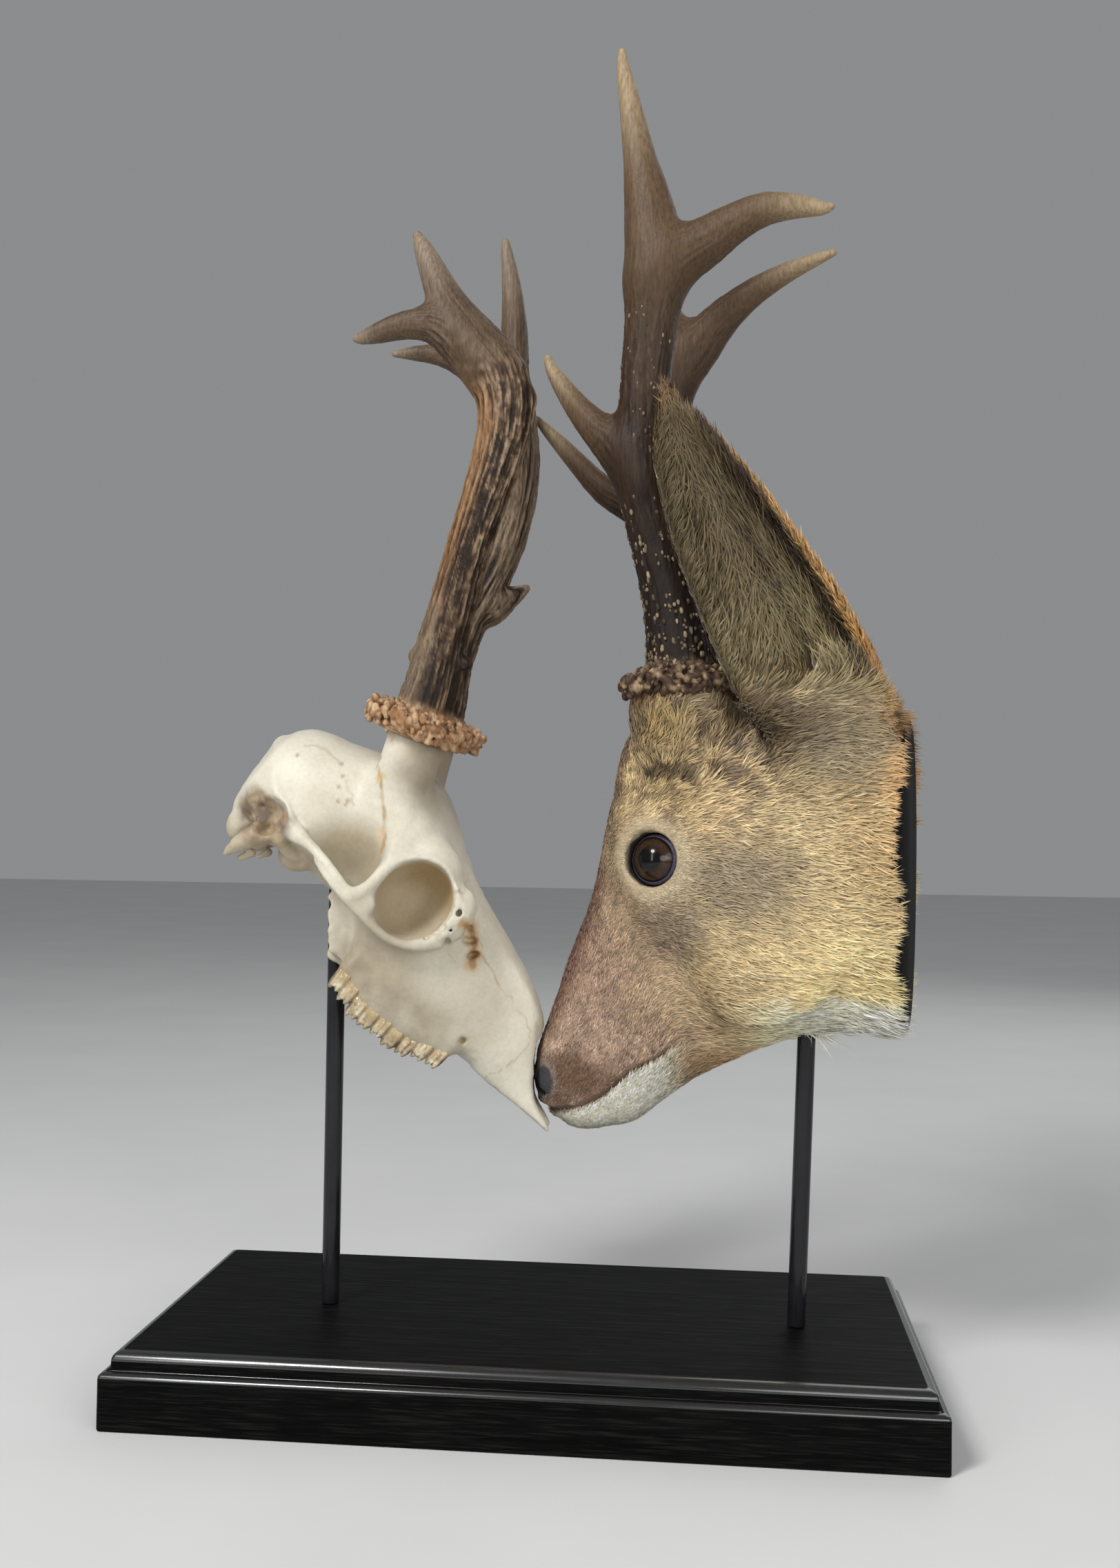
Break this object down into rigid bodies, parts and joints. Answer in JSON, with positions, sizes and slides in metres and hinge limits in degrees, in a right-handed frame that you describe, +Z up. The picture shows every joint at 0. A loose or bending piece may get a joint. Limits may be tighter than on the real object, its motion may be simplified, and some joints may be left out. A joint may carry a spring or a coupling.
{
  "type": "roe deer skull mount",
  "caption": "Roe deer skull with antlers and a stuffed head of the same species, nose to nose on two rods over a moulded black plinth.",
  "frame": {"origin": "centre of the plinth's underside", "axes": "+Z up, +X along the plinth from the skull to the stuffed head, -Y towards the viewer"},
  "size_m": [0.34, 0.166, 0.5901],
  "materials": {
    "ebonised_wood": "black stain, satin, open grain",
    "rod": "gloss black",
    "bone": "cleaned bone, matt to satin",
    "antler": "furrowed antler, satin",
    "coat": "short deer coat"
  },
  "bodies": {
    "root": {"stand_base": "ebonised_wood", "stand_rod_skull": "rod", "stand_rod_head": "rod", "skull_braincase": "bone", "skull_frontal": "bone", "skull_maxilla": "bone", "skull_premaxilla": "bone", "skull_nasals": "bone", "skull_arch_right": "bone", "skull_arch_left": "bone", "antler_right_coronet": "antler", "antler_right_beam": "antler", "antler_right_top_tine": "antler", "antler_right_back_tine": "antler", "antler_left_coronet": "antler", "antler_left_beam": "antler", "antler_left_top_tine": "antler", "antler_left_back_tine": "antler", "deer_head": "coat"}
  },
  "joints": []
}
